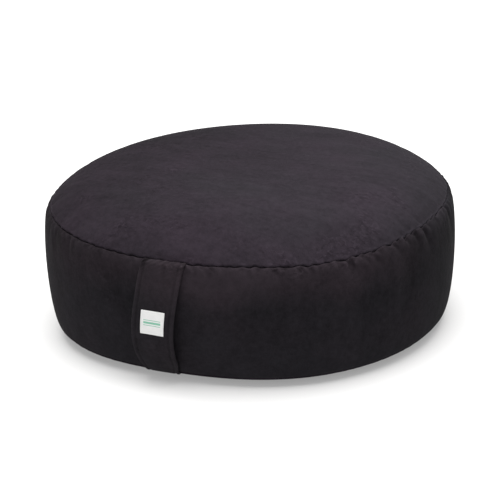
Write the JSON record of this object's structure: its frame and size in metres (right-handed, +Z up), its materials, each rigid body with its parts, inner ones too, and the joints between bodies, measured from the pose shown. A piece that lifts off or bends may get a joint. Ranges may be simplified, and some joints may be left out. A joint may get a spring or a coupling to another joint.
{
  "type": "meditation cushion",
  "caption": "Round floor cushion for seated meditation, with a crowned top, an upright side band that bellies between its seams, and a carry strap.",
  "frame": {"origin": "middle of the flat face the cushion stands on", "axes": "+Z up out of the crowned top; -Y towards the carry strap; +X to the right of someone who faces the strap"},
  "size_m": [0.4038, 0.41, 0.1579],
  "materials": {
    "band_suede": "charcoal microsuede, matte with a soft nap",
    "panel_suede": "charcoal microsuede, matte, its nap brushed a little lighter",
    "strap_suede": "charcoal microsuede, folded and topstitched",
    "label_tape": "white woven tape, matte"
  },
  "bodies": {
    "root": {"cushion": "band_suede", "top_panel": "panel_suede", "bottom_panel": "panel_suede", "handle": "strap_suede", "label": "label_tape"}
  },
  "joints": []
}
